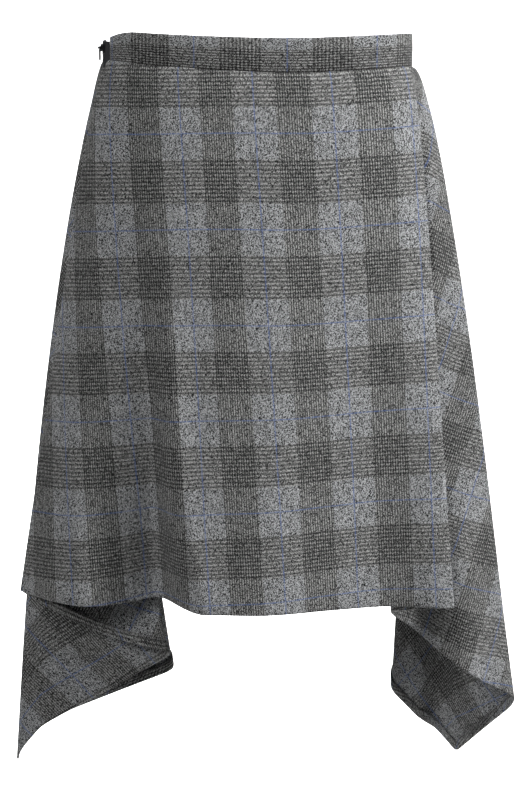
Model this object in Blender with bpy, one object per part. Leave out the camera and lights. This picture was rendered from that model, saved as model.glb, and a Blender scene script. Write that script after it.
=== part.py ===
"""Handkerchief skirt, worn and hollow, in metres, +Z up, front facing -Y.

The origin is the centre of the waist at half the height of the band.  Two A-line panels, front and
back, meet two side panels that hang on the bias from a narrow top, so that each one's square corner
falls as a point below the level front hem.  Each piece is a wall that runs from a line on the waist
ring to its own hem line, with a soft swell over the hip.
"""
import math
from collections import namedtuple

import bmesh
import bpy
import numpy as np

# Driving dimensions, metres.
CLOTH = 0.0014
BAND_THICKNESS = 0.0022
BAND_HEIGHT = 0.028
SEAM_GAP = 0.0003
SEAM_LAP = 0.0006
WAIST_HALF_WIDTH = 0.142
WAIST_HALF_DEPTH = 0.070
WAIST_SQUARENESS = 2.3
WAIST_DIP = 0.0035
FRONT_TOP = 0.298
BACK_TOP = 0.298
HEM_DROP = 0.493
HIP_SWELL = 0.008
HIP_SWELL_RISE = 0.42
BACK_SWELL = 0.014

# The zip stands in the left side opening, just behind the front panel's seam.
ZIP_GAP = 0.0086
ZIP_TAPE_WIDTH = 0.0068
ZIP_TAPE_THICKNESS = 0.0012
ZIP_TAPE_ROWS = 8
ZIP_TOP = 0.0105
ZIP_BOTTOM = -0.0235
ZIP_PROUD = 0.0024
ZIP_PROUD_BELOW = 0.0059
SLIDER_HEIGHT = 0.0048
SLIDER_SIZE = (0.0022, 0.0052, 0.0066)
LUG_THICKNESS = 0.0009
LUG_REACH = 0.0030
LUG_HEIGHT = 0.0024
WELD = 0.0002
PIN_RADIUS = 0.0005
EYE_RADIUS = 0.00085
EYE_OUTSIDE = 0.0014
EYE_WIDTH = 0.0024
PULL_SIZE = (0.0008, 0.0028, 0.0100)

# Front and back hems as x and y, left seam to right seam, as the panel lies round the legs.
FRONT_HEM = (
    (-0.2208, -0.0740),
    (-0.1870, -0.1090),
    (-0.1450, -0.1310),
    (-0.0850, -0.1450),
    (0.0025, -0.1550),
    (0.0656, -0.1385),
    (0.1267, -0.1290),
    (0.1662, -0.1305),
    (0.1771, -0.1300),
)
BACK_HEM = (
    (-0.2180, 0.0900),
    (-0.1700, 0.1230),
    (-0.0900, 0.1360),
    (-0.0200, 0.1530),
    (0.0500, 0.1450),
    (0.1200, 0.1400),
    (0.1750, 0.1170),
    (0.2120, 0.0900),
)

# Soft hollows that run up a panel from its hem: shares of the panel's width at the hem and at the
# top, half widths to the left and right and depth at the hem in metres, and how fast they fade.
Hollow = namedtuple("Hollow", "hem_share top_share left right depth fade")
FRONT_HOLLOWS = (
    Hollow(0.372, 0.100, 0.084, 0.046, 0.037, 2.6),
    Hollow(0.860, 0.780, 0.070, 0.050, 0.005, 1.6),
)
BACK_HOLLOWS = (
    Hollow(0.300, 0.360, 0.055, 0.060, 0.024, 2.0),
    Hollow(0.700, 0.640, 0.050, 0.055, 0.020, 1.8),
)

# Hem lines of the side panels from the front seam to the back seam, a row for each fold.  The two
# seam rows are left out: they come from the front and back hems.  The point is the square corner.
# Bow and sag bend the run that ends at the fold, sideways and down.
Fold = namedtuple("Fold", "name x y z bow sag")
LEFT_FOLDS = (
    Fold("inner_front", -0.0760, -0.0920, -0.5470, -0.007, 0.007),
    Fold("tail_front", -0.2100, -0.0400, -0.6380, -0.010, 0.000),
    Fold("point", -0.2395, -0.0310, -0.6760, -0.001, 0.000),
    Fold("tail_back", -0.2060, -0.0180, -0.6380, 0.001, 0.000),
    Fold("inner_back", -0.0790, 0.0500, -0.6080, 0.008, 0.003),
)
RIGHT_FOLDS = (
    Fold("inner_front", 0.1190, -0.0760, -0.5120, 0.000, 0.000),
    Fold("outer", 0.2550, -0.0250, -0.6150, -0.006, 0.006),
    Fold("point", 0.1990, 0.0180, -0.6840, 0.006, 0.000),
    Fold("inner_back", 0.1300, 0.0470, -0.6290, -0.004, 0.000),
)
LEFT_BACK_BOW = -0.006
RIGHT_BACK_BOW = 0.008
LEFT_SWELL = 0.0205
LEFT_SWELL_RISE = 0.96
RIGHT_SWELL = 0.016
RIGHT_SWELL_RISE = 0.46
FOLD_SOFTNESS = 0.030
POINT_SOFTNESS = 0.005

PANEL_COLUMNS = 34
PANEL_ROWS = 14
SIDE_COLUMNS = 38
SIDE_ROWS = 15
BAND_COLUMNS = 56
ROW_CROWDING = 1.35
RING_STEPS = 1441
HEM_STEPS = 900
CURVE_STEPS = 24
TURN_WEIGHT = 0.9
EVEN_WEIGHT = 7.0


def mix(a, b, share):
    return a + (b - a) * share


def along(points, count):
    """Points at equal steps along an open line."""
    points = np.asarray(points, dtype=float)
    steps = np.linalg.norm(np.diff(points, axis=0), axis=1)
    run = np.concatenate([[0.0], np.cumsum(steps)])
    targets = np.linspace(0.0, run[-1], count)
    return np.stack([np.interp(targets, run, points[:, k]) for k in range(points.shape[1])], axis=1)


def smooth_line(points, count):
    """A Catmull-Rom curve through the points, at equal steps."""
    points = np.asarray(points, dtype=float)
    padded = np.vstack([2 * points[0] - points[1], points, 2 * points[-1] - points[-2]])
    fine = []
    for k in range(1, len(padded) - 2):
        p0, p1, p2, p3 = padded[k - 1:k + 3]
        for u in np.linspace(0.0, 1.0, CURVE_STEPS, endpoint=False):
            fine.append(0.5 * (2 * p1 + (p2 - p0) * u + (2 * p0 - 5 * p1 + 4 * p2 - p3) * u * u
                               + (3 * p1 - p0 - 3 * p2 + p3) * u ** 3))
    fine.append(points[-1])
    return along(fine, count)


def waist_ring():
    """The waist line from the centre back, round the left side, front and right, by arc length."""
    angles = np.linspace(-math.pi, math.pi, RING_STEPS)
    power = 2.0 / WAIST_SQUARENESS
    x = WAIST_HALF_WIDTH * np.sign(np.sin(angles)) * np.abs(np.sin(angles)) ** power
    y = -WAIST_HALF_DEPTH * np.sign(np.cos(angles)) * np.abs(np.cos(angles)) ** power
    return along(np.stack([x, y], axis=1), RING_STEPS)


RING = waist_ring()
RING_LENGTH = float(np.linalg.norm(np.diff(RING, axis=0), axis=1).sum())
FRONT_LEFT = 0.5 * RING_LENGTH - 0.5 * FRONT_TOP
FRONT_RIGHT = 0.5 * RING_LENGTH + 0.5 * FRONT_TOP
BACK_LEFT = 0.5 * BACK_TOP
BACK_RIGHT = RING_LENGTH - 0.5 * BACK_TOP


def waist_point(arc):
    """Place on the waist line and the direction that points out of the skirt there."""
    place = (arc % RING_LENGTH) / RING_LENGTH * (len(RING) - 1)
    low = int(place) % (len(RING) - 1)
    point = mix(RING[low], RING[low + 1], place - int(place))
    tangent = RING[(low + 6) % (len(RING) - 1)] - RING[low - 5]
    outward = np.array([-tangent[1], tangent[0]]) / np.linalg.norm(tangent)
    if outward @ point < 0:
        outward = -outward
    return point, outward


def waist_height(point):
    """The band dips a little at the centre of the front and of the back."""
    return -WAIST_DIP * (1.0 - (point[0] / WAIST_HALF_WIDTH) ** 2)


def hollow_depth(rows, share, drop, width):
    """How far the panel is pushed in at a place on it."""
    total = 0.0
    for row in rows:
        offset = (share - mix(row.top_share, row.hem_share, drop)) * width
        reach = row.left if offset < 0 else row.right
        if abs(offset) < reach:
            total += row.depth * drop ** row.fade * math.cos(0.5 * math.pi * offset / reach) ** 2
    return total


def row_drops(rows):
    """Shares down a panel, closer together over the hip."""
    return np.linspace(0.0, 1.0, rows) ** ROW_CROWDING


def panel_grid(hem_rows, hollows, start_arc, end_arc, swell, facing):
    """Middle surface of the front or back panel, rows from waist to hem."""
    hem = smooth_line(hem_rows, PANEL_COLUMNS)
    width = float(np.linalg.norm(np.diff(hem, axis=0), axis=1).sum())
    grid = []
    for drop in row_drops(PANEL_ROWS):
        row = []
        for column in range(PANEL_COLUMNS):
            share = column / (PANEL_COLUMNS - 1)
            top, outward = waist_point(mix(start_arc, end_arc, share))
            height = waist_height(top) - 0.5 * BAND_HEIGHT - SEAM_GAP
            swelling = mix(HIP_SWELL, swell, math.sin(math.pi * share))
            lift = swelling * math.sin(math.pi * drop ** HIP_SWELL_RISE)
            flat = mix(top, hem[column], drop) + outward * lift
            flat[1] -= facing * hollow_depth(hollows, share, drop, width)
            row.append((flat[0], flat[1], mix(height, -HEM_DROP, drop)))
        grid.append(row)
    return np.array(grid)


def bowed_runs(rows):
    """Runs between folds, each bent sideways by its bow and down by its sag, as one dense line."""
    line = []
    for start, end in zip(rows[:-1], rows[1:]):
        here, there = np.array((start.x, start.y, start.z)), np.array((end.x, end.y, end.z))
        across = np.array([-(there - here)[1], (there - here)[0], 0.0])
        bend = across / np.linalg.norm(across) * end.bow - np.array([0.0, 0.0, end.sag])
        steps = max(8, int(np.linalg.norm(there - here) / 0.0008))
        for u in np.linspace(0.0, 1.0, steps, endpoint=False):
            line.append(mix(here, there, u) + bend * 4 * u * (1 - u))
    line.append(np.array((rows[-1].x, rows[-1].y, rows[-1].z)))
    return along(line, HEM_STEPS)


def soften(values, reach):
    """Rounds the corners of a dense line over a given reach, with its ends held."""
    reach = max(1, int(reach))
    kernel = np.hanning(2 * reach + 3)[1:-1]
    kernel /= kernel.sum()
    before = 2 * values[0] - values[reach:0:-1]
    after = 2 * values[-1] - values[-2:-reach - 2:-1]
    padded = np.concatenate([before, values, after])
    return np.convolve(padded, kernel, mode="valid")


def fold_line(rows):
    """Hem line of a side panel with round folds, and the columns where its grid stands."""
    line = bowed_runs(rows)
    step = np.linalg.norm(np.diff(line, axis=0), axis=1).mean()
    point = next(row for row in rows if row.name == "point")
    point_index = int(np.argmin(np.linalg.norm(line - np.array((point.x, point.y, point.z)), axis=1)))
    rounded = line.copy()
    for axis in (0, 1):
        rounded[:, axis] = soften(line[:, axis], FOLD_SOFTNESS / step)
    rounded[:, 2] = soften(line[:, 2], POINT_SOFTNESS / step)
    heading = np.unwrap(np.arctan2(np.gradient(rounded[:, 1]), np.gradient(rounded[:, 0])))
    effort = np.cumsum(np.abs(np.gradient(heading)) * TURN_WEIGHT + EVEN_WEIGHT / len(line))
    targets = np.linspace(effort[0], effort[-1], SIDE_COLUMNS)
    columns = np.interp(targets, effort, np.arange(len(line)))
    nearest = int(np.argmin(np.abs(columns - point_index)))
    columns[nearest] = point_index
    return rounded, columns


def side_grid(rows, start_arc, end_arc, swell, rise):
    """Middle surface of a side panel, rows from waist to hem."""
    hem, columns = fold_line(rows)
    inset = CLOTH + SEAM_LAP
    grid = []
    for drop in row_drops(SIDE_ROWS):
        row = []
        for column in columns:
            share = column / (len(hem) - 1)
            top, outward = waist_point(mix(start_arc, end_arc, share))
            height = waist_height(top) - 0.5 * BAND_HEIGHT - SEAM_GAP
            low = min(int(column), len(hem) - 2)
            foot = mix(hem[low], hem[low + 1], column - low)
            extra = mix(HIP_SWELL, swell, math.sin(math.pi * share) ** 0.8) - HIP_SWELL
            lift = HIP_SWELL * math.sin(math.pi * drop ** HIP_SWELL_RISE)
            lift += extra * math.sin(math.pi * drop ** rise)
            flat = mix(top - outward * inset, foot[:2], drop) + outward * lift
            row.append((flat[0], flat[1], mix(height, foot[2], drop)))
        grid.append(row)
    return np.array(grid)


def make_object(name, bm, material):
    mesh = bpy.data.meshes.new(name)
    bm.to_mesh(mesh)
    bm.free()
    mesh.materials.append(material)
    mesh.shade_smooth()
    mesh.set_sharp_from_angle(angle=math.radians(40))
    part = bpy.data.objects.new(name, mesh)
    bpy.context.scene.collection.objects.link(part)
    return part


def make_material(name, colour, roughness, metallic=0.0):
    material = bpy.data.materials.new(name)
    material.use_nodes = True
    shader = material.node_tree.nodes["Principled BSDF"]
    shader.inputs["Base Color"].default_value = (*colour, 1.0)
    shader.inputs["Roughness"].default_value = roughness
    shader.inputs["Metallic"].default_value = metallic
    return material


def wall_from_grid(grid, thickness, level_top=False, level_bottom=False):
    """A closed wall of even thickness about a grid of points, with its rims closed."""
    rows, columns = grid.shape[:2]
    down = np.gradient(grid, axis=0)
    across = np.gradient(grid, axis=1)
    normal = np.cross(across, down)
    normal /= np.linalg.norm(normal, axis=2, keepdims=True)
    if level_top:
        normal[0, :, 2] = 0.0
    if level_bottom:
        normal[-1, :, 2] = 0.0
    normal /= np.linalg.norm(normal, axis=2, keepdims=True)
    bm = bmesh.new()
    sides = []
    for sign in (0.5, -0.5):
        moved = grid + normal * thickness * sign
        sides.append([[bm.verts.new(moved[r, c]) for c in range(columns)] for r in range(rows)])
    one, two = sides
    for r in range(rows - 1):
        for c in range(columns - 1):
            bm.faces.new((one[r][c], one[r][c + 1], one[r + 1][c + 1], one[r + 1][c]))
            bm.faces.new((two[r][c], two[r + 1][c], two[r + 1][c + 1], two[r][c + 1]))
    for r in range(rows - 1):
        bm.faces.new((one[r][0], one[r + 1][0], two[r + 1][0], two[r][0]))
        bm.faces.new((one[r][-1], two[r][-1], two[r + 1][-1], one[r + 1][-1]))
    for c in range(columns - 1):
        bm.faces.new((one[0][c], two[0][c], two[0][c + 1], one[0][c + 1]))
        bm.faces.new((one[-1][c], one[-1][c + 1], two[-1][c + 1], two[-1][c]))
    bmesh.ops.recalc_face_normals(bm, faces=bm.faces)
    bmesh.ops.triangulate(bm, faces=bm.faces)
    return bm


def seam_end(hem, neighbour):
    """Where a side panel's hem starts: just inside the end of the front or back hem."""
    end, near = np.array(hem), np.array(neighbour)
    run = (near - end) / np.linalg.norm(near - end)
    inward = np.array([-run[1], run[0]])
    if inward @ end > 0:
        inward = -inward
    place = end + inward * (CLOTH + SEAM_LAP)
    return (float(place[0]), float(place[1]), -HEM_DROP)


def make_panels(cloth):
    front = panel_grid(FRONT_HEM, FRONT_HOLLOWS, FRONT_LEFT, FRONT_RIGHT, HIP_SWELL, -1.0)
    back = panel_grid(BACK_HEM[::-1], BACK_HOLLOWS, BACK_RIGHT, BACK_LEFT + RING_LENGTH, BACK_SWELL, 1.0)
    make_object("front_panel", wall_from_grid(front, CLOTH, level_top=True), cloth)
    make_object("back_panel", wall_from_grid(back, CLOTH, level_top=True), cloth)


def left_rows():
    """The left side panel's folds between its two seams."""
    first = Fold("seam_front", *seam_end(FRONT_HEM[0], FRONT_HEM[1]), 0.0, 0.0)
    last = Fold("seam_back", *seam_end(BACK_HEM[0], BACK_HEM[1]), LEFT_BACK_BOW, 0.0)
    return [first, *LEFT_FOLDS, last]


def right_rows():
    """The right side panel's folds between its two seams."""
    first = Fold("seam_front", *seam_end(FRONT_HEM[-1], FRONT_HEM[-2]), 0.0, 0.0)
    last = Fold("seam_back", *seam_end(BACK_HEM[-1], BACK_HEM[-2]), RIGHT_BACK_BOW, 0.0)
    return [first, *RIGHT_FOLDS, last]


def make_side_panels(cloth):
    left_grid = side_grid(left_rows(), FRONT_LEFT, BACK_LEFT, LEFT_SWELL, LEFT_SWELL_RISE)
    right_grid = side_grid(right_rows(), FRONT_RIGHT, BACK_RIGHT, RIGHT_SWELL, RIGHT_SWELL_RISE)
    make_object("side_panel_left", wall_from_grid(left_grid, CLOTH, level_top=True), cloth)
    make_object("side_panel_right", wall_from_grid(right_grid, CLOTH, level_top=True), cloth)


def make_waistband(cloth):
    """One straight strip round the waist, open at the left side for the zip."""
    start = FRONT_LEFT + 0.5 * ZIP_GAP
    length = RING_LENGTH - ZIP_GAP
    grid = []
    for share_down in (0.0, 1.0):
        row = []
        for column in range(BAND_COLUMNS):
            top, outward = waist_point(start + length * column / (BAND_COLUMNS - 1))
            row.append((top[0], top[1], waist_height(top) + BAND_HEIGHT * (0.5 - share_down)))
        grid.append(row)
    make_object("waistband", wall_from_grid(np.array(grid), BAND_THICKNESS, True, True), cloth)


def zip_frame():
    """Centre of the zip on the waist line, the way out of the skirt and the way along the band."""
    point, outward = waist_point(FRONT_LEFT)
    centre = np.array([point[0], point[1], 0.0])
    out = np.array([outward[0], outward[1], 0.0])
    side = np.array([-outward[1], outward[0], 0.0])
    return centre, out, side


def box_at(bm, centre, axes, size):
    """A box with its own axes, added to a mesh."""
    made = bmesh.ops.create_cube(bm, size=1.0)["verts"]
    for vert in made:
        local = np.array(vert.co) * np.array(size)
        vert.co = centre + axes[0] * local[0] + axes[1] * local[1] + axes[2] * local[2]
    return made


def rod_at(name, centre, axes, radius, length, sides, material):
    """A round bar along the second axis."""
    bm = bmesh.new()
    made = bmesh.ops.create_cone(
        bm, cap_ends=True, segments=sides, radius1=radius, radius2=radius, depth=length)["verts"]
    for vert in made:
        local = np.array(vert.co)
        vert.co = centre + axes[0] * local[0] + axes[1] * local[2] + axes[2] * local[1]
    bmesh.ops.recalc_face_normals(bm, faces=bm.faces)
    return make_object(name, bm, material)


def combine(target, tool, operation):
    """Applies a Boolean to the target and hides the tool from the build."""
    step = target.modifiers.new(operation.lower(), "BOOLEAN")
    step.operation = operation
    step.object = tool
    tool.hide_render = True
    tool.display_type = "WIRE"


def make_zip(tape, metal):
    centre, out, side = zip_frame()
    up = np.array([0.0, 0.0, 1.0])
    axes = (out, side, up)
    proud = out * (0.5 * BAND_THICKNESS + ZIP_PROUD)
    grid = []
    for height in np.linspace(ZIP_TOP, ZIP_BOTTOM, ZIP_TAPE_ROWS):
        share = (ZIP_TOP - height) / (ZIP_TOP - ZIP_BOTTOM)
        lift = 0.5 * BAND_THICKNESS + mix(ZIP_PROUD, ZIP_PROUD_BELOW, share ** 2)
        tucked = 0.0 if height > -0.45 * BAND_HEIGHT else lift
        row = []
        for across, rise in ((-0.5, tucked), (-0.32, lift), (0.0, lift), (0.32, lift), (0.5, tucked)):
            row.append(centre + out * rise + up * height + side * across * ZIP_TAPE_WIDTH)
        grid.append(row)
    make_object("zip_tape", wall_from_grid(np.array(grid), ZIP_TAPE_THICKNESS), tape)

    body_out = 0.5 * ZIP_TAPE_THICKNESS + SEAM_GAP + 0.5 * SLIDER_SIZE[0]
    body_centre = centre + proud + out * body_out + up * SLIDER_HEIGHT
    pin_centre = body_centre + out * (0.5 * SLIDER_SIZE[0] + LUG_REACH - EYE_OUTSIDE + WELD)
    bm = bmesh.new()
    box_at(bm, body_centre, axes, SLIDER_SIZE)
    slider = make_object("zip_slider", bm, metal)
    for hand in (-1.0, 1.0):
        bm = bmesh.new()
        lug_side = side * hand * 0.5 * (EYE_WIDTH + 2 * SEAM_GAP + LUG_THICKNESS)
        lug_out = out * (0.5 * SLIDER_SIZE[0] + 0.5 * LUG_REACH - WELD)
        box_at(bm, body_centre + lug_side + lug_out, axes, (LUG_REACH, LUG_THICKNESS, LUG_HEIGHT))
        combine(slider, make_object("lug_tool", bm, metal), "UNION")
    pin = rod_at("pin_tool", pin_centre, axes, PIN_RADIUS, EYE_WIDTH + 4 * SEAM_GAP, 12, metal)
    combine(slider, pin, "UNION")

    eye = rod_at("zip_pull", pin_centre, axes, EYE_OUTSIDE, EYE_WIDTH, 16, metal)
    bm = bmesh.new()
    reach = PULL_SIZE[2]
    box_at(bm, pin_centre - up * (0.5 * reach + 0.5 * (EYE_OUTSIDE + EYE_RADIUS)), axes, PULL_SIZE)
    combine(eye, make_object("tab_tool", bm, metal), "UNION")
    bore = rod_at("bore_tool", pin_centre, axes, EYE_RADIUS, 2 * EYE_WIDTH, 16, metal)
    combine(eye, bore, "DIFFERENCE")


def build():
    for leftover in list(bpy.data.objects):
        bpy.data.objects.remove(leftover)
    cloth = make_material("checked suiting", (0.12, 0.12, 0.12), 0.85)
    tape = make_material("zip tape", (0.010, 0.010, 0.011), 0.8)
    metal = make_material("zip metal", (0.25, 0.25, 0.26), 0.35, 1.0)
    make_panels(cloth)
    make_side_panels(cloth)
    make_waistband(cloth)
    make_zip(tape, metal)


build()
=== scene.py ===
import math

import bpy
import numpy as np
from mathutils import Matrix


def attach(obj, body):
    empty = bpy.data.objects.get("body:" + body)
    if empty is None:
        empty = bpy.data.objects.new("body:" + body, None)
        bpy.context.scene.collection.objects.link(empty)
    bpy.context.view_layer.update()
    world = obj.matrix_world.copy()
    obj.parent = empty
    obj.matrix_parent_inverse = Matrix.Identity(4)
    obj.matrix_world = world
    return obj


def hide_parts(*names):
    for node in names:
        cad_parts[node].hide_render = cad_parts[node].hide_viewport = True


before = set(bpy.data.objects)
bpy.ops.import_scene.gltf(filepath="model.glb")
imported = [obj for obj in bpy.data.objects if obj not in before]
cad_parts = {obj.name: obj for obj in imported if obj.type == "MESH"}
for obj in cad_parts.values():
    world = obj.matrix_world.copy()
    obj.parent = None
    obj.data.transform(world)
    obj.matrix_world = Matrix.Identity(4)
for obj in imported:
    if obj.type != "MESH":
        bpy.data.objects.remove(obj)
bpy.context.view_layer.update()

# Checked suiting
# A wool glen check in UV metres: stripe blocks and heathered blocks on a 70.4 by 83.1 mm repeat, with a
# thin blue line through the middle of each light band. The weave's own relief is a fine diagonal.
suiting = bpy.data.materials.new("checked_suiting")
suiting.use_nodes = True
tree = suiting.node_tree
shader = tree.nodes["Principled BSDF"]


def calc(operation, *inputs, clamp=False):
    node = tree.nodes.new("ShaderNodeMath")
    node.operation = operation
    node.use_clamp = clamp
    for socket, given in zip(node.inputs, inputs):
        if isinstance(given, (int, float)):
            socket.default_value = given
        else:
            tree.links.new(given, socket)
    return node.outputs[0]


def blend(share, low, high):
    node = tree.nodes.new("ShaderNodeMix")
    for socket, given in zip(node.inputs, (share, None, low, high)):
        if isinstance(given, (int, float)):
            socket.default_value = given
        elif given is not None:
            tree.links.new(given, socket)
    return node.outputs[0]


def rise(value, start, width):
    return calc("DIVIDE", calc("SUBTRACT", value, start), width, clamp=True)


def speckle(vector, scale, turn, stretch, detail, low, high):
    place = tree.nodes.new("ShaderNodeMapping")
    place.inputs["Rotation"].default_value = (0.0, 0.0, math.radians(turn))
    place.inputs["Scale"].default_value = (1.0, stretch, 1.0)
    tree.links.new(vector, place.inputs["Vector"])
    noise = tree.nodes.new("ShaderNodeTexNoise")
    noise.inputs["Scale"].default_value = scale
    noise.inputs["Detail"].default_value = detail
    tree.links.new(place.outputs["Vector"], noise.inputs["Vector"])
    return rise(noise.outputs["Fac"], low, high - low)


flat_place = tree.nodes.new("ShaderNodeUVMap")
flat_place.uv_map = "UVMap"
flat = flat_place.outputs["UV"]
split = tree.nodes.new("ShaderNodeSeparateXYZ")
tree.links.new(flat, split.inputs[0])
# how far the check's lines wander
WAVER = 0.0004
waver = calc("SUBTRACT", speckle(flat, 60.0, 0, 1.0, 2.0, 0.0, 1.0), 0.5)
waver = calc("MULTIPLY", waver, WAVER)
across = calc("ADD", split.outputs["X"], waver)
down = calc("ADD", split.outputs["Y"], waver)

# the heather's fleck: small leaning cells, each light or dark
CELLS_A_METRE = 2400.0
floats = tree.nodes.new("ShaderNodeMapping")
floats.inputs["Rotation"].default_value = (0.0, 0.0, math.radians(38.0))
floats.inputs["Scale"].default_value = (1.0, 0.62, 1.0)
tree.links.new(flat, floats.inputs["Vector"])
cells = tree.nodes.new("ShaderNodeTexVoronoi")
cells.voronoi_dimensions = "2D"
cells.inputs["Scale"].default_value = CELLS_A_METRE
cells.inputs["Randomness"].default_value = 1.0
tree.links.new(floats.outputs["Vector"], cells.inputs["Vector"])
cell_shade = tree.nodes.new("ShaderNodeSeparateColor")
tree.links.new(cells.outputs["Color"], cell_shade.inputs["Color"])
heather = rise(cell_shade.outputs["Red"], 0.42, 0.16)
slub = speckle(flat, 260.0, 0, 0.25, 2.0, 0.30, 0.70)

# repeat, width of the dark band and pitch of its stripes, across and down the cloth
CHECK_ACROSS = (0.0704, 0.0316, 0.002257)
CHECK_DOWN = (0.0831, 0.0380, 0.003455)
EDGE_BLUR = 0.0004
BLUE_REACH = 0.0008
darks = []
stripes = []
blues = []
for place, (repeat, dark_width, pitch) in ((across, CHECK_ACROSS), (down, CHECK_DOWN)):
    from_blue = calc("PINGPONG", place, 0.5 * repeat)
    dark = rise(from_blue, 0.5 * (repeat - dark_width) - 0.5 * EDGE_BLUR, EDGE_BLUR)
    centred = calc("SUBTRACT", place, 0.5 * repeat)
    stripe = rise(calc("PINGPONG", centred, 0.5 * pitch), 0.27 * pitch, -0.06 * pitch)
    darks.append(dark)
    stripes.append(calc("MULTIPLY", dark, stripe))
    blues.append(rise(from_blue, BLUE_REACH, -0.5 * BLUE_REACH))
dark_either = calc("MAXIMUM", darks[0], darks[1])
crossing = calc("MULTIPLY", stripes[0], stripes[1])
light_ground = blend(heather, 0.004, 0.292)
dark_ground = blend(heather, 0.006, 0.268)
tone = blend(dark_either, light_ground, dark_ground)
# how much of the ground's tone is left in each kind of stripe
for stripe, left_over in ((stripes[0], 0.30), (stripes[1], 0.42), (crossing, 0.30)):
    tone = calc("MULTIPLY", tone, blend(stripe, 1.0, left_over))
tone = calc("MULTIPLY", tone, blend(slub, 0.90, 1.08))
blue_dashes = speckle(flat, 1500.0, 45, 0.4, 0.0, 0.42, 0.52)
blue = calc("MULTIPLY", calc("MAXIMUM", blues[0], blues[1]), blend(blue_dashes, 0.15, 0.75))

# red, green and blue in the light blocks and in the dark ones, which are a little warmer
GAINS = ((0.980, 1.0), (1.0, 1.0), (1.018, 0.982))
BLUE_LINE = (0.050, 0.085, 0.210, 1.0)
grey = tree.nodes.new("ShaderNodeCombineColor")
for channel, (gain_light, gain_dark) in enumerate(GAINS):
    gain = blend(dark_either, gain_light, gain_dark)
    tree.links.new(calc("MULTIPLY", tone, gain), grey.inputs[channel])
colour = tree.nodes.new("ShaderNodeMix")
colour.data_type = "RGBA"
tree.links.new(blue, colour.inputs["Factor"])
tree.links.new(grey.outputs[0], colour.inputs["A"])
colour.inputs["B"].default_value = BLUE_LINE
tree.links.new(colour.outputs["Result"], shader.inputs["Base Color"])
shader.inputs["Roughness"].default_value = 0.82
shader.inputs["Specular IOR Level"].default_value = 0.25
shader.inputs["Sheen Weight"].default_value = 0.10
shader.inputs["Sheen Roughness"].default_value = 0.45

TWILL_PITCH = 0.0009
slant = calc("ADD", split.outputs["X"], split.outputs["Y"])
diagonal = calc("SINE", calc("MULTIPLY", slant, 2 * math.pi / TWILL_PITCH))
relief = calc("ADD", calc("MULTIPLY", diagonal, 0.25), heather)
bump = tree.nodes.new("ShaderNodeBump")
bump.inputs["Strength"].default_value = 0.35
bump.inputs["Distance"].default_value = 0.00012
tree.links.new(relief, bump.inputs["Height"])
tree.links.new(bump.outputs["Normal"], shader.inputs["Normal"])

# Front panel
# An A-line panel with a soft valley up from the left of its hem. Its seam edges and its hem are turned
# under, and a few shallow creases run down from the waist.
CLOTH = 0.0007
TURN = 0.0007
WAIST_HALF_WIDTH = 0.142
WAIST_HALF_DEPTH = 0.070
WAIST_SQUARENESS = 2.3
WAIST_DIP = 0.0035
BAND_HEIGHT = 0.028
PANEL_LENGTH = 0.49
HEM_DROP = 0.493
HIP_SWELL = 0.008
HIP_RISE = 0.42
# shares between the places that a surface's slope is taken from
SURFACE_STEP = 0.002


def mix(a, b, share):
    return a + (b - a) * share


def along(points, count):
    run = np.concatenate([[0.0], np.cumsum(np.linalg.norm(np.diff(points, axis=0), axis=1))])
    targets = np.linspace(0.0, run[-1], count)
    return np.stack([np.interp(targets, run, points[:, k]) for k in range(points.shape[1])], axis=1)


def smooth_line(points, count):
    points = np.asarray(points, dtype=float)
    padded = np.vstack([2 * points[0] - points[1], points, 2 * points[-1] - points[-2]])
    fine = []
    for k in range(1, len(padded) - 2):
        p0, p1, p2, p3 = padded[k - 1:k + 3]
        for u in np.linspace(0.0, 1.0, 24, endpoint=False):
            fine.append(0.5 * (2 * p1 + (p2 - p0) * u + (2 * p0 - 5 * p1 + 4 * p2 - p3) * u * u
                               + (3 * p1 - p0 - 3 * p2 + p3) * u ** 3))
    fine.append(points[-1])
    return along(np.array(fine), count)


def follow(line, share):
    """Places on an evenly stepped line, carried on straight past its ends."""
    place = np.clip(share, 0.0, 1.0) * (len(line) - 1)
    low = np.minimum(place.astype(int), len(line) - 2)
    at = line[low] + (line[low + 1] - line[low]) * (place - low)[..., None]
    past = (share - np.clip(share, 0.0, 1.0)) * (len(line) - 1)
    end = np.where((share > 0.5)[..., None], line[-1] - line[-2], line[1] - line[0])
    return at + end * past[..., None]


angles = np.linspace(-math.pi, math.pi, 1441)
power = 2.0 / WAIST_SQUARENESS
ring_x = WAIST_HALF_WIDTH * np.sign(np.sin(angles)) * np.abs(np.sin(angles)) ** power
ring_y = -WAIST_HALF_DEPTH * np.sign(np.cos(angles)) * np.abs(np.cos(angles)) ** power
ring = along(np.stack([ring_x, ring_y], axis=1), 1441)
ring_length = float(np.linalg.norm(np.diff(ring, axis=0), axis=1).sum())
tangent = np.roll(ring[:-1], -6, axis=0) - np.roll(ring[:-1], 5, axis=0)
ring_out = np.stack([tangent[:, 1], -tangent[:, 0]], axis=1)
ring_out /= np.linalg.norm(ring_out, axis=1, keepdims=True)
ring_out = np.vstack([ring_out, ring_out[:1]])

# x and how far the waist seam rides up there at the front, in millimetres
WAIST_RISE = (
    (-142, 8.6), (-119, 7.5), (-92, 5.5), (-58, 4.0), (-35, 3.0), (7, 1.0), (50, 0.5), (139, 3.0),
)
RISE_END_Y = 0.030
RISE_FADE = 0.055


def ride_up(point):
    rise_x, rise_up = 0.001 * np.array(WAIST_RISE).T
    front = np.clip((RISE_END_Y - point[..., 1]) / RISE_FADE, 0.0, 1.0)
    return np.interp(point[..., 0], rise_x, rise_up) * front * front * (3.0 - 2.0 * front)


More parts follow.
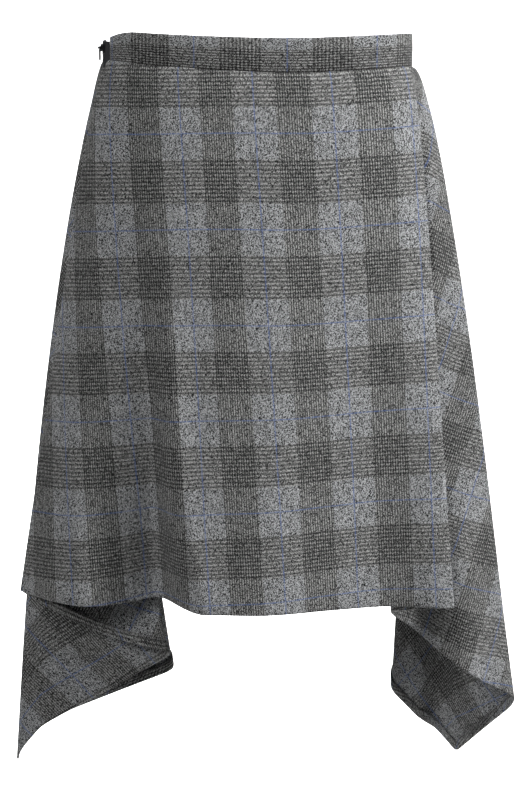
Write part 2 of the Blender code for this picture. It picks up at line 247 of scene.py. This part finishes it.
def waist(arc):
    """Place on the waist line, the way out of the skirt there and the height of the band's middle."""
    turn = np.mod(arc, ring_length) / ring_length
    point = follow(ring, turn)
    outward = follow(ring_out, turn)
    return point, outward, ride_up(point) - WAIST_DIP * (1.0 - (point[..., 0] / WAIST_HALF_WIDTH) ** 2)


def creases(rows, share, drop, width):
    """Soft ridges and dents, each a line on the panel that fades out at both of its ends."""
    total = np.zeros_like(share)
    for share_top, drop_top, share_low, drop_low, reach, depth in rows:
        run = (drop - drop_top) / (drop_low - drop_top)
        inside = (run > 0.0) & (run < 1.0)
        offset = (share - mix(share_top, share_low, run)) * width
        swell = np.exp(-(offset / reach) ** 2) * np.sin(math.pi * np.clip(run, 0.0, 1.0)) ** 1.5
        total += np.where(inside, depth * swell, 0.0)
    return total


def turned_edge(allowance, steps):
    """A narrow turning: distance past the edge, distance under the piece and length of cloth used."""
    round_edge = np.linspace(0.0, math.pi, 5)[1:]
    rows = [(TURN * math.sin(a), TURN * (1 - math.cos(a)), TURN * a) for a in round_edge]
    for k in range(1, steps + 1):
        rows.append((-allowance * k / steps, 2 * TURN, math.pi * TURN + allowance * k / steps))
    return rows


def lie(surface, share, drop):
    """Place on a surface, the way out of it and the run of the cloth down it."""
    over = surface(share + SURFACE_STEP, drop) - surface(share - SURFACE_STEP, drop)
    fell = surface(share, drop + SURFACE_STEP) - surface(share, drop - SURFACE_STEP)
    normal = np.cross(fell, over)
    normal /= np.linalg.norm(normal, axis=-1, keepdims=True)
    return surface(share, drop), normal, fell


def cut_piece(name, place, flat_at, thickness):
    """A thin piece of the suiting, from a grid of places and the same grid laid flat."""
    rows, columns = place.shape[:2]
    bpy.ops.object.select_all(action="DESELECT")
    bpy.ops.mesh.primitive_grid_add(x_subdivisions=columns - 1, y_subdivisions=rows - 1, size=1.0)
    piece = bpy.context.active_object
    piece.name = piece.data.name = name
    piece.data.vertices.foreach_set("co", place.reshape(-1).astype(np.float32))
    corner = np.zeros(len(piece.data.loops), dtype=int)
    piece.data.loops.foreach_get("vertex_index", corner)
    uv = flat_at.reshape(-1, 2)[corner].reshape(-1).astype(np.float32)
    piece.data.uv_layers["UVMap"].data.foreach_set("uv", uv)
    thick = piece.modifiers.new("thickness", "SOLIDIFY")
    thick.thickness = thickness
    thick.offset = 0.0
    bpy.ops.object.modifier_apply(modifier=thick.name)
    bpy.ops.object.shade_smooth()
    piece.data.materials.append(suiting)
    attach(piece, "skirt")
    return piece


def cloth(name, surface, cut, columns, rows, width, length, hem=0.008, seam=0.009, tuck=0.006):
    """A sheet over surface(share, drop), with turned seam edges and hem, and its flat cut as its UVs."""
    side = turned_edge(seam, 3)
    low = turned_edge(hem, 3)
    main = np.linspace(0.0, 1.0, columns)
    across_rows = [(0.0, -p, u, -c) for p, u, c in reversed(side)]
    across_rows += [(s, 0.0, 0.0, 0.0) for s in main]
    across_rows += [(1.0, p, u, c) for p, u, c in side]
    down_rows = [(-tuck / PANEL_LENGTH, 0.0, 0.0, 0.0)]
    down_rows += [(t, 0.0, 0.0, 0.0) for t in np.linspace(0.0, 1.0, rows) ** 1.15]
    down_rows += [(1.0, p, u, c) for p, u, c in low]
    a = np.array(across_rows)[None, :, :]
    d = np.array(down_rows[::-1])[:, None, :]
    share = a[..., 0] + 0 * d[..., 0]
    drop = d[..., 0] + 0 * a[..., 0]
    span = width(np.clip(drop, 0.0, 1.0))
    fall = length(share)
    share_at = share + a[..., 1] / span
    drop_at = drop + d[..., 1] / fall
    under = a[..., 2] + d[..., 2]
    on_surface, normal, _ = lie(surface, share_at, drop_at)
    place = on_surface - normal * under[..., None]
    flat_at = cut(share + a[..., 3] / span, drop + d[..., 3] / fall)
    return cut_piece(name, place, flat_at, CLOTH)


def hollow(rows, share, drop, width):
    """Long rounded folds that fade out up the panel, as a depth at each place."""
    total = np.zeros_like(share)
    for hem_share, top_share, left, right, depth, fade in rows:
        offset = (share - mix(top_share, hem_share, drop)) * width
        reach = np.where(offset < 0, left, right)
        bell = np.cos(0.5 * math.pi * np.clip(offset / reach, -1.0, 1.0)) ** 2
        total += depth * np.clip(drop, 0.0, None) ** fade * bell
    return total


def panel(hem_rows, hollows, crease_rows, start, end, swell, facing):
    """Surface of the front or back panel as a function of share across and share down."""
    hem = smooth_line(hem_rows, 400)
    hem_width = float(np.linalg.norm(np.diff(hem, axis=0), axis=1).sum())

    def surface(share, drop):
        top, outward, height = waist(mix(start, end, share))
        swelling = mix(HIP_SWELL, swell, np.sin(math.pi * np.clip(share, 0.0, 1.0)))
        lift = swelling * np.sin(math.pi * np.clip(drop, 0.0, 1.0) ** HIP_RISE)
        lift = lift + creases(crease_rows, share, drop, hem_width)
        flat_xy = mix(top, follow(hem, share), drop[..., None]) + outward * lift[..., None]
        flat_y = flat_xy[..., 1] - facing * hollow(hollows, share, drop, hem_width)
        z = mix(height - 0.5 * BAND_HEIGHT, -HEM_DROP, drop)
        return np.stack([flat_xy[..., 0], flat_y, z], axis=-1)

    return surface, hem_width


FRONT_TOP = 0.298
front_left = 0.5 * (ring_length - FRONT_TOP)
front_right = 0.5 * (ring_length + FRONT_TOP)
# x and y of the hem, left to right
FRONT_HEM = (
    (-0.2208, -0.0740), (-0.1870, -0.1090), (-0.1450, -0.1310), (-0.0850, -0.1450), (0.0025, -0.1550),
    (0.0656, -0.1385), (0.1267, -0.1290), (0.1662, -0.1305), (0.1771, -0.1300),
)
# hem share, top share, reach left and right, depth, fade
FRONT_HOLLOWS = ((0.372, 0.100, 0.084, 0.041, 0.041, 2.6), (0.860, 0.780, 0.070, 0.050, 0.005, 1.6))
# share and drop at the top, share and drop at the foot, reach, depth
FRONT_CREASES = (
    (0.06, 0.02, 0.14, 0.60, 0.012, 0.0016),
    (0.16, 0.00, 0.22, 0.42, 0.014, -0.0012),
    (0.245, 0.30, 0.440, 1.60, 0.014, -0.0110),
    (0.305, 0.35, 0.500, 1.55, 0.020, 0.0075),
    (0.48, 0.30, 0.44, 1.05, 0.018, 0.0018),
    (0.62, 0.00, 0.66, 0.50, 0.020, -0.0010),
    (0.74, 0.45, 0.76, 1.06, 0.016, 0.0014),
    (0.90, 0.10, 0.93, 0.95, 0.012, -0.0012),
)
front_surface, front_width = panel(FRONT_HEM, FRONT_HOLLOWS, FRONT_CREASES, front_left, front_right,
                                   HIP_SWELL, facing=-1.0)
# shares across the panel, with how far the flat cut strays aside there and how far down it lies
TOP_ASIDE = ((0.03, 0.25, 0.5, 0.75, 0.98), (-0.0028, 0.0009, 0.0061, 0.0066, 0.0009))
HEM_ASIDE = ((0.3, 0.45, 0.6, 0.8, 1.0), (-0.0105, -0.0015, 0.0, 0.0018, 0.0))
TOP_DOWN = ((0.0, 0.5, 1.0), (-0.0660, -0.0546, -0.0540))
HEM_DOWN = ((0.0, 0.32, 0.44, 0.80, 1.0), (0.407, 0.419, 0.4225, 0.430, 0.432))


def front_cut(share, drop):
    top_u = mix(-0.150, 0.148, share) + np.interp(share, *TOP_ASIDE)
    hem_u = mix(-0.274, 0.156, share) + np.interp(share, *HEM_ASIDE)
    u = mix(top_u, hem_u, drop)
    v = mix(np.interp(share, *TOP_DOWN), np.interp(share, *HEM_DOWN), drop)
    v = v - 0.004 * np.sin(math.pi * v / 0.415)
    v = v + 0.0035 * np.sin(math.pi * np.clip(drop / 0.8, 0.0, 1.0)) * np.exp(-((share - 0.3) / 0.25) ** 2)
    return np.stack([u, v], axis=-1)


def panel_length(share):
    return PANEL_LENGTH + 0 * share


front = cloth("front_cloth", front_surface, front_cut, 120, 104,
              lambda drop: mix(FRONT_TOP, front_width, drop), panel_length)
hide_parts("front_panel")

# Back panel
# Finished plainly like the front, with two long soft folds. The check runs straight down its middle.
BACK_TOP = 0.298
back_left = 0.5 * BACK_TOP
back_right = ring_length - 0.5 * BACK_TOP
BACK_HEM = (
    (-0.2180, 0.0900), (-0.1700, 0.1230), (-0.0900, 0.1360), (-0.0200, 0.1530),
    (0.0500, 0.1450), (0.1200, 0.1400), (0.1750, 0.1170), (0.2120, 0.0900),
)
BACK_SWELL = 0.014
BACK_HOLLOWS = ((0.300, 0.360, 0.055, 0.060, 0.024, 2.0), (0.700, 0.640, 0.050, 0.055, 0.020, 1.8))
BACK_CREASES = (
    (0.10, 0.02, 0.08, 0.85, 0.014, 0.0016),
    (0.34, 0.00, 0.36, 0.55, 0.016, -0.0014),
    (0.50, 0.25, 0.52, 1.05, 0.018, 0.0020),
    (0.66, 0.05, 0.64, 0.60, 0.015, 0.0012),
    (0.86, 0.10, 0.90, 1.02, 0.014, -0.0016),
)
back_surface, back_width = panel(BACK_HEM[::-1], BACK_HOLLOWS, BACK_CREASES, back_right,
                                 back_left + ring_length, BACK_SWELL, facing=1.0)
# half a repeat, which brings the middle of a dark band to the middle of the back
BACK_SHIFT = 0.0352


def back_cut(share, drop):
    u = mix(mix(-0.149, 0.149, share), mix(-0.237, 0.237, share), drop) + BACK_SHIFT
    v = mix(-0.056, 0.428, drop) + 0 * share
    return np.stack([u, v], axis=-1)


back = cloth("back_cloth", back_surface, back_cut, 120, 104,
             lambda drop: mix(BACK_TOP, back_width, drop), panel_length)
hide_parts("back_panel")

# Left side panel
# Bias-hung, with a square corner for its point. The hem folds back on itself under the front panel.
SIDE_TOP = 0.052
SIDE_LENGTH = 0.680
SIDE_HALF_DIAGONAL = 0.240
SIDE_INSET = 0.0020
SIDE_INSET_TOP = 0.0004
FOLD_SOFTNESS = 0.030
POINT_SOFTNESS = 0.005


def bowed_runs(rows):
    """The hem's line from fold to fold, each run bowed sideways and sagging as its row says."""
    line = []
    for start, end in zip(rows[:-1], rows[1:]):
        here, there = np.array(start[1:4]), np.array(end[1:4])
        sideways = np.array([-(there - here)[1], (there - here)[0], 0.0])
        bend = sideways / np.linalg.norm(sideways) * end[4] - np.array([0.0, 0.0, end[5]])
        steps = max(8, int(np.linalg.norm(there - here) / 0.0008))
        for u in np.linspace(0.0, 1.0, steps, endpoint=False):
            line.append(mix(here, there, u) + bend * 4 * u * (1 - u))
    line.append(np.array(rows[-1][1:4]))
    return along(np.array(line), 900)


def soften(values, reach):
    """A running mean that rounds the folds over reach steps and leaves both ends in place."""
    reach = max(1, int(reach))
    kernel = np.hanning(2 * reach + 3)[1:-1]
    kernel /= kernel.sum()
    before = 2 * values[0] - values[reach:0:-1]
    after = 2 * values[-1] - values[-2:-reach - 2:-1]
    padded = np.concatenate([before, values, after])
    return np.convolve(padded, kernel, mode="valid")


def seam_end(hem, neighbour):
    """Foot of a side seam, just inside the end of the front's or the back's hem."""
    end, near = np.array(hem), np.array(neighbour)
    run = (near - end) / np.linalg.norm(near - end)
    inward = np.array([-run[1], run[0]])
    if inward @ end > 0:
        inward = -inward
    place = end + inward * SIDE_INSET
    return (float(place[0]), float(place[1]), -HEM_DROP)


def side(rows, crease_rows, forward_rows, start, end, swell, swell_rise, backwards, grain, shift):
    """Surface and flat cut of a side panel, whose rows are the folds from its front to its back seam."""
    line = bowed_runs(rows)
    step = np.linalg.norm(np.diff(line, axis=0), axis=1).mean()
    hem_width = step * (len(line) - 1)
    corner = np.array(next(row for row in rows if row[0] == "point")[1:4])
    point_share = float(np.argmin(np.linalg.norm(line - corner, axis=1))) / (len(line) - 1)
    hem = line.copy()
    for axis in (0, 1):
        hem[:, axis] = soften(line[:, axis], FOLD_SOFTNESS / step)
    hem[:, 2] = soften(line[:, 2], POINT_SOFTNESS / step)

    def surface(share, drop):
        share = 1.0 - share if backwards else share
        top, outward, height = waist(mix(start, end, share))
        foot = follow(hem, share)
        inner = np.sin(math.pi * np.clip(share, 0.0, 1.0))
        extra = (swell - HIP_SWELL) * inner ** 0.8
        low = np.clip(drop, 0.0, 1.0)
        lift = HIP_SWELL * np.sin(math.pi * low ** HIP_RISE) + extra * np.sin(math.pi * low ** swell_rise)
        span = mix(SIDE_TOP, hem_width, low)
        lift = lift + creases(crease_rows, share, drop, span)
        inset = mix(SIDE_INSET_TOP, SIDE_INSET, np.clip(drop / 0.05, 0.0, 1.0))
        flat_xy = mix(top - outward * inset[..., None], foot[..., :2], drop[..., None])
        flat_xy = flat_xy + outward * lift[..., None]
        z = mix(height - 0.5 * BAND_HEIGHT, foot[..., 2], drop)
        forward = creases(forward_rows, share, drop, span)
        return np.stack([flat_xy[..., 0], flat_xy[..., 1] - forward, z], axis=-1)

    def cut(share, drop):
        share = 1.0 - share if backwards else share
        top_x = mix(-0.5 * SIDE_TOP, 0.5 * SIDE_TOP, share)
        before = mix(-SIDE_HALF_DIAGONAL, 0.0, share / point_share)
        after = mix(0.0, SIDE_HALF_DIAGONAL, (share - point_share) / (1.0 - point_share))
        foot_x = np.where(share < point_share, before, after)
        x = mix(top_x, foot_x, drop)
        y = mix(0.0, SIDE_LENGTH - np.abs(foot_x), drop)
        u = x * math.cos(grain) + y * math.sin(grain) + shift[0]
        v = y * math.cos(grain) - x * math.sin(grain) + shift[1]
        return np.stack([u, v], axis=-1)

    waist_x = np.mean([hem[0, 0], hem[-1, 0]]) * 0.6
    lengths = np.linalg.norm(hem - np.array([waist_x, 0.0, 0.0]), axis=1)

    def length(share):
        share = 1.0 - share if backwards else share
        return np.interp(share, np.linspace(0.0, 1.0, len(hem)), lengths)

    return surface, cut, length


# fold, x, y, z, bow and sag of the run that ends there
LEFT_FOLDS = [
    ("seam_front", *seam_end(FRONT_HEM[0], FRONT_HEM[1]), 0.0, 0.0),
    ("inner_front", -0.0760, -0.0920, -0.5470, -0.007, 0.007),
    ("tail_front", -0.2100, -0.0400, -0.6380, -0.010, 0.000),
    ("point", -0.2395, -0.0310, -0.6760, -0.001, 0.000),
    ("tail_back", -0.2060, -0.0180, -0.6380, 0.001, 0.000),
    ("inner_back", -0.0790, 0.0500, -0.6080, 0.008, 0.003),
    ("seam_back", *seam_end(BACK_HEM[0], BACK_HEM[1]), -0.006, 0.0),
]
LEFT_CREASES = (
    (0.035, 0.06, 0.030, 0.80, 0.007, -0.0060),
    (0.30, 0.35, 0.34, 1.05, 0.018, 0.0020),
    (0.46, 0.20, 0.47, 0.98, 0.012, -0.0018),
    (0.60, 0.10, 0.58, 0.90, 0.016, 0.0018),
    (0.78, 0.40, 0.76, 1.04, 0.016, -0.0020),
)
# the same columns, with the depth taken straight towards the front
LEFT_FORWARD = (
    (0.33, 0.60, 0.33, 1.30, 0.030, 0.0060),
)
LEFT_GRAIN = math.radians(47.0)
LEFT_SPREAD = 0.73
left_surface, left_cut, left_length = side(
    LEFT_FOLDS, LEFT_CREASES, LEFT_FORWARD, front_left, back_left, swell=0.0205, swell_rise=0.96,
    backwards=True, grain=LEFT_GRAIN, shift=(0.0274, -0.0268))
left = cloth("left_cloth", left_surface, left_cut, 170, 104,
             lambda drop: mix(SIDE_TOP, LEFT_SPREAD, drop), left_length, hem=0.010, seam=0.006)
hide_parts("side_panel_left")

# Right side panel
# The same cut on the right, where the outer fold opens forward and shows the inside of the cloth.
RIGHT_FOLDS = [
    ("seam_front", *seam_end(FRONT_HEM[-1], FRONT_HEM[-2]), 0.0, 0.0),
    ("inner_front", 0.1190, -0.0760, -0.5120, 0.000, 0.000),
    ("outer", 0.2550, -0.0250, -0.6150, -0.006, 0.006),
    ("point", 0.1990, 0.0180, -0.6840, 0.006, 0.000),
    ("inner_back", 0.1300, 0.0470, -0.6290, -0.004, 0.000),
    ("seam_back", *seam_end(BACK_HEM[-1], BACK_HEM[-2]), 0.008, 0.0),
]
RIGHT_CREASES = (
    (0.202, 0.04, 0.254, 0.74, 0.0032, -0.0095),
    (0.10, 0.15, 0.12, 0.95, 0.014, 0.0018),
    (0.24, 0.45, 0.25, 1.05, 0.020, -0.0030),
    (0.38, 0.20, 0.40, 0.90, 0.016, 0.0020),
    (0.66, 0.40, 0.64, 1.05, 0.018, -0.0020),
    (0.85, 0.10, 0.86, 0.90, 0.016, 0.0016),
)
RIGHT_FORWARD = (
    (0.190, 0.62, 0.190, 1.30, 0.030, -0.0200),
    (0.310, 0.55, 0.310, 1.30, 0.028, 0.0100),
    (0.668, 0.80, 0.668, 1.22, 0.014, 0.0100),
    (0.622, 0.80, 0.622, 1.22, 0.012, -0.0060),
)
RIGHT_GRAIN = math.radians(33.0)
RIGHT_SPREAD = 0.60
right_surface, right_cut, right_length = side(
    RIGHT_FOLDS, RIGHT_CREASES, RIGHT_FORWARD, front_right, back_right, swell=0.016, swell_rise=0.46,
    backwards=False, grain=RIGHT_GRAIN, shift=(-0.0189, 0.0406))
right = cloth("right_cloth", right_surface, right_cut, 150, 104,
              lambda drop: mix(SIDE_TOP, RIGHT_SPREAD, drop), right_length, hem=0.010, seam=0.006)
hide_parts("side_panel_right")

# Waistband
# One folded strip with the panels' tops inside it, open at the left side where the zip closes it.
ZIP_GAP = 0.0086
# millimetres out from the waist line and up, from the outer turning over the top to the inner turning
BAND_SECTION = (
    (0.45, -9.0), (0.45, -13.2), (0.65, -13.9), (0.95, -13.95), (1.15, -13.4), (1.25, -7.0), (1.30, 0.0),
    (1.25, 8.0), (1.10, 12.6), (0.80, 13.5), (0.30, 14.0), (-0.25, 14.0), (-0.75, 13.5), (-1.00, 12.6),
    (-1.10, 7.0), (-1.15, 0.0), (-1.10, -7.0), (-1.05, -13.2), (-0.85, -13.8), (-0.55, -13.4), (-0.50, -9.0),
)
TOP_ROW = 10
BAND_COLUMNS = 220
BAND_CLOTH = 0.0005
BAND_LIFT = 0.0022
# the band's top follows about half of the seam's rise, and rounds off at the corner by the zip
TOP_SHARE = 0.48
CORNER_DROP = 0.0085
CORNER_START = -0.104
CORNER_WIDTH = 0.034
# where the check's repeat starts, across the band and along it
BAND_SHIFT = (0.0094, 0.0095)
section = np.array(BAND_SECTION) * 0.001
spent = np.concatenate([[0.0], np.cumsum(np.linalg.norm(np.diff(section, axis=0), axis=1))])
turn = np.linspace(0.0, 1.0, BAND_COLUMNS)
arcs = front_left + 0.5 * ZIP_GAP + (ring_length - ZIP_GAP) * turn
band_point, band_out, band_height = waist(arcs)
end_pinch = np.clip(np.minimum(turn, 1.0 - turn) / 0.003, 0.12, 1.0)
corner_drop = CORNER_DROP * np.clip((CORNER_START - band_point[:, 0]) / CORNER_WIDTH, 0.0, 1.0) ** 2.5
ease = 0.00025 * np.sin(arcs * 190.0) + 0.00018 * np.sin(arcs * 83.0 + 1.0)
band_rows = []
band_flat = []
for k, (out, up) in enumerate(section):
    shape = out * end_pinch + ease * (0.3 + 0.7 * abs(up) / (0.5 * BAND_HEIGHT))
    xy = band_point + band_out * shape[:, None]
    lean = (up + 0.5 * BAND_HEIGHT) / BAND_HEIGHT
    z = band_height + up + lean * (BAND_LIFT - TOP_SHARE * ride_up(band_point) - corner_drop)
    band_rows.append(np.column_stack([xy, z]))
    across_band = np.full(BAND_COLUMNS, spent[TOP_ROW] - spent[k] + BAND_SHIFT[0])
    band_flat.append(np.column_stack([across_band, arcs - front_left - BAND_SHIFT[1]]))
band = cut_piece("waistband_cloth", np.array(band_rows), np.array(band_flat), BAND_CLOTH)
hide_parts("waistband")

# Zip
# The tape, slider and pull keep the CAD's meshes and get their finish here, with two rows of metal teeth
# on the tape's face.


def plain_finish(name, colour, roughness, metallic=0.0):
    finish = bpy.data.materials.new(name)
    finish.use_nodes = True
    surface_shader = finish.node_tree.nodes["Principled BSDF"]
    surface_shader.inputs["Base Color"].default_value = (*colour, 1.0)
    surface_shader.inputs["Roughness"].default_value = roughness
    surface_shader.inputs["Metallic"].default_value = metallic
    return finish


tape_cloth = plain_finish("zip_tape", (0.012, 0.012, 0.014), 0.75)
dark_metal = plain_finish("zip_metal", (0.10, 0.10, 0.105), 0.32, metallic=1.0)
for name, finish in (("zip_tape", tape_cloth), ("zip_slider", dark_metal), ("zip_pull", dark_metal)):
    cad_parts[name].data.materials.clear()
    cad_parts[name].data.materials.append(finish)

# the tape stands out from the band, further at its foot than at its top
BAND_THICKNESS = 0.0022
ZIP_TOP = 0.0105
ZIP_BOTTOM = -0.0235
ZIP_PROUD = 0.0024
ZIP_PROUD_BELOW = 0.0059
TAPE_HALF = 0.0006
TOOTH = (0.0008, 0.0024, 0.0007)
TOOTH_PITCH = 0.0014
TOOTH_PAIRS = 16
TOOTH_ROW_GAP = 0.0012
FIRST_TOOTH_Z = -0.0012
bpy.ops.object.select_all(action="DESELECT")
bpy.ops.mesh.primitive_cube_add(size=1.0, scale=TOOTH)
teeth = bpy.context.active_object
teeth.name = teeth.data.name = "zip_teeth"
bpy.ops.object.mode_set(mode="EDIT")
bpy.ops.mesh.select_all(action="SELECT")
bpy.ops.mesh.bevel(offset=0.00018, segments=2)
bpy.ops.object.mode_set(mode="OBJECT")
pair = (0.0, TOOTH_ROW_GAP, 0.5 * TOOTH_PITCH)
for count, offset in ((2, pair), (TOOTH_PAIRS, (0.0, 0.0, -TOOTH_PITCH))):
    rows = teeth.modifiers.new("rows", "ARRAY")
    rows.count = count
    rows.use_relative_offset = False
    rows.use_constant_offset = True
    rows.constant_offset_displace = offset
    bpy.ops.object.modifier_apply(modifier=rows.name)
tooth_co = np.zeros(3 * len(teeth.data.vertices))
teeth.data.vertices.foreach_get("co", tooth_co)
tooth_co = tooth_co.reshape(-1, 3)
zip_point, zip_out, _ = waist(np.array([front_left]))
zip_side = np.array([-zip_out[0, 1], zip_out[0, 0]])
tooth_z = tooth_co[:, 2] + FIRST_TOOTH_Z
tape_share = (ZIP_TOP - tooth_z) / (ZIP_TOP - ZIP_BOTTOM)
proud = mix(ZIP_PROUD, ZIP_PROUD_BELOW, tape_share ** 2)
lift = 0.5 * BAND_THICKNESS + proud + TAPE_HALF + tooth_co[:, 0]
aside = tooth_co[:, 1] - 0.5 * TOOTH_ROW_GAP
tooth_xy = zip_point + zip_out * lift[:, None] + zip_side * aside[:, None]
tooth_at = np.column_stack([tooth_xy, tooth_z])
teeth.data.vertices.foreach_set("co", tooth_at.reshape(-1).astype(np.float32))
bpy.ops.object.shade_smooth()
teeth.data.materials.append(dark_metal)
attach(teeth, "skirt")

# Hem stitching
# Every hem is turned up and held by a row of short stitches on its inside, with an overlocked raw edge.
thread = plain_finish("thread", (0.16, 0.16, 0.165), 0.7)
# how far inside the turning's raw edge the threads lie
EDGE_MARGIN = 0.0012
# how much of its pitch a stitch fills
DASH = 0.6
# pitch, radius and reach
STITCHES = (0.0042, 0.00016, 0.0)
OVERLOCK = (0.0011, 0.00014, 0.0011)
# how far short of the turned edge the stitches run, and how far past it the overlock does
STITCH_SHORT = 0.0012
OVERLOCK_PAST = 0.0008


def hem_thread(name, surface, length, hem, shares, pitch, radius, reach):
    """Stitches along a hem's inner edge: dashes when reach is nothing, else loops over the raw edge."""
    run = surface(shares, 1.0 + 0 * shares)
    total = float(np.linalg.norm(np.diff(run, axis=0), axis=1).sum())
    count = int(total / pitch)
    bpy.ops.object.select_all(action="DESELECT")
    bpy.ops.mesh.primitive_cylinder_add(vertices=5, radius=radius, depth=1.0,
                                        rotation=(0.0, math.pi / 2, 0.0))
    piece = bpy.context.active_object
    piece.name = piece.data.name = name
    bpy.ops.object.transform_apply(rotation=True)
    repeat = piece.modifiers.new("repeat", "ARRAY")
    repeat.count = count
    repeat.relative_offset_displace = (1.0, 0.0, 0.0)
    bpy.ops.object.modifier_apply(modifier=repeat.name)
    co = np.zeros(3 * len(piece.data.vertices))
    piece.data.vertices.foreach_get("co", co)
    co = co.reshape(-1, 3)
    number = np.repeat(np.arange(count), len(co) // count)
    local = co[:, 0] - number
    end = np.where(local > 0.0, 1.0, 0.0)
    if reach:
        place = number + end
        aside = np.where(place % 2 == 0, -reach, reach)
    else:
        place = number + 0.5 * (1.0 - DASH) + DASH * end
        aside = 0.0 * place
    gone = np.concatenate([[0.0], np.cumsum(np.linalg.norm(np.diff(run, axis=0), axis=1))]) / total
    share = np.interp(place / count, gone, shares)
    drop = 1.0 - (hem - EDGE_MARGIN + aside) / length(share)
    place_on, normal, fell = lie(surface, share, drop)
    down_run = fell / np.linalg.norm(fell, axis=1, keepdims=True)
    under = 2 * TURN + 0.5 * CLOTH + 0.6 * radius
    at = place_on - normal * (under - co[:, 1])[:, None] + down_run * co[:, 2][:, None]
    piece.data.vertices.foreach_set("co", at.reshape(-1).astype(np.float32))
    bpy.ops.object.shade_smooth()
    piece.data.materials.append(thread)
    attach(piece, "skirt")


spread = np.linspace(0.01, 0.99, 600)
for label, surface, fall, hem in (
        ("front", front_surface, panel_length, 0.008),
        ("back", back_surface, panel_length, 0.008),
        ("left", left_surface, left_length, 0.010),
        ("right", right_surface, right_length, 0.010)):
    hem_thread(label + "_hem_stitches", surface, fall, hem - STITCH_SHORT, spread, *STITCHES)
    hem_thread(label + "_hem_overlock", surface, fall, hem + OVERLOCK_PAST, spread, *OVERLOCK)

# Floor, light and camera
# A pale floor and backdrop, a broad light from the right of the camera, a softer one from the left, one
# from above and one on the backdrop.
bpy.ops.object.select_all(action="DESELECT")
STAGE_SIZE = 16.0
bpy.ops.mesh.primitive_plane_add(size=STAGE_SIZE, location=(0.0, 0.0, -1.0))
floor = bpy.context.active_object
floor.name = "floor"
bpy.ops.mesh.primitive_plane_add(size=STAGE_SIZE, location=(0.0, 6.5, 0.0),
                                 rotation=(math.pi / 2, 0.0, 0.0))
backdrop = bpy.context.active_object
backdrop.name = "backdrop"
paper = plain_finish("pale_floor", (0.80, 0.80, 0.80), 0.9)
floor.data.materials.append(paper)
backdrop.data.materials.append(paper)

world = bpy.data.worlds.new("studio")
bpy.context.scene.world = world
world.use_nodes = True
sky = world.node_tree.nodes["Background"]
sky.inputs["Color"].default_value = (1.0, 1.0, 1.0, 1.0)
sky.inputs["Strength"].default_value = 0.025

MIDDLE = (0.0, 0.0, -0.3)


def lamp(name, place, aim, size, watts, spread=50.0):
    bpy.ops.object.light_add(type="AREA", location=place)
    light = bpy.context.active_object
    light.name = name
    light.data.shape = "SQUARE"
    light.data.size = size
    light.data.energy = watts
    light.data.spread = math.radians(spread)
    direction = np.array(aim) - np.array(place)
    light.rotation_euler[0] = math.atan2(math.hypot(direction[0], direction[1]), -direction[2])
    light.rotation_euler[2] = math.atan2(direction[1], direction[0]) - math.pi / 2


lamp("key_light", (2.6, -0.7, 1.5), MIDDLE, 0.8, 16.2)
lamp("top_light", (0.2, -1.6, 2.5), MIDDLE, 0.9, 3.0)
lamp("fill_light", (-1.5, -2.2, 1.2), MIDDLE, 0.9, 4.6)
lamp("backdrop_light", (0.0, 1.6, 2.6), (0.0, 4.0, -0.6), 2.0, 560.0, 120.0)

CAMERA_TILT = 10.14
bpy.ops.object.camera_add(location=(0.007, -1.8, 0.0),
                          rotation=(math.radians(90.0 - CAMERA_TILT), 0.0, 0.0))
camera = bpy.context.active_object
camera.name = "camera"
camera.data.lens = 87.16
camera.data.sensor_width = 36.0
camera.data.clip_end = 60.0
bpy.context.scene.camera = camera
bpy.context.scene.view_settings.view_transform = "Standard"
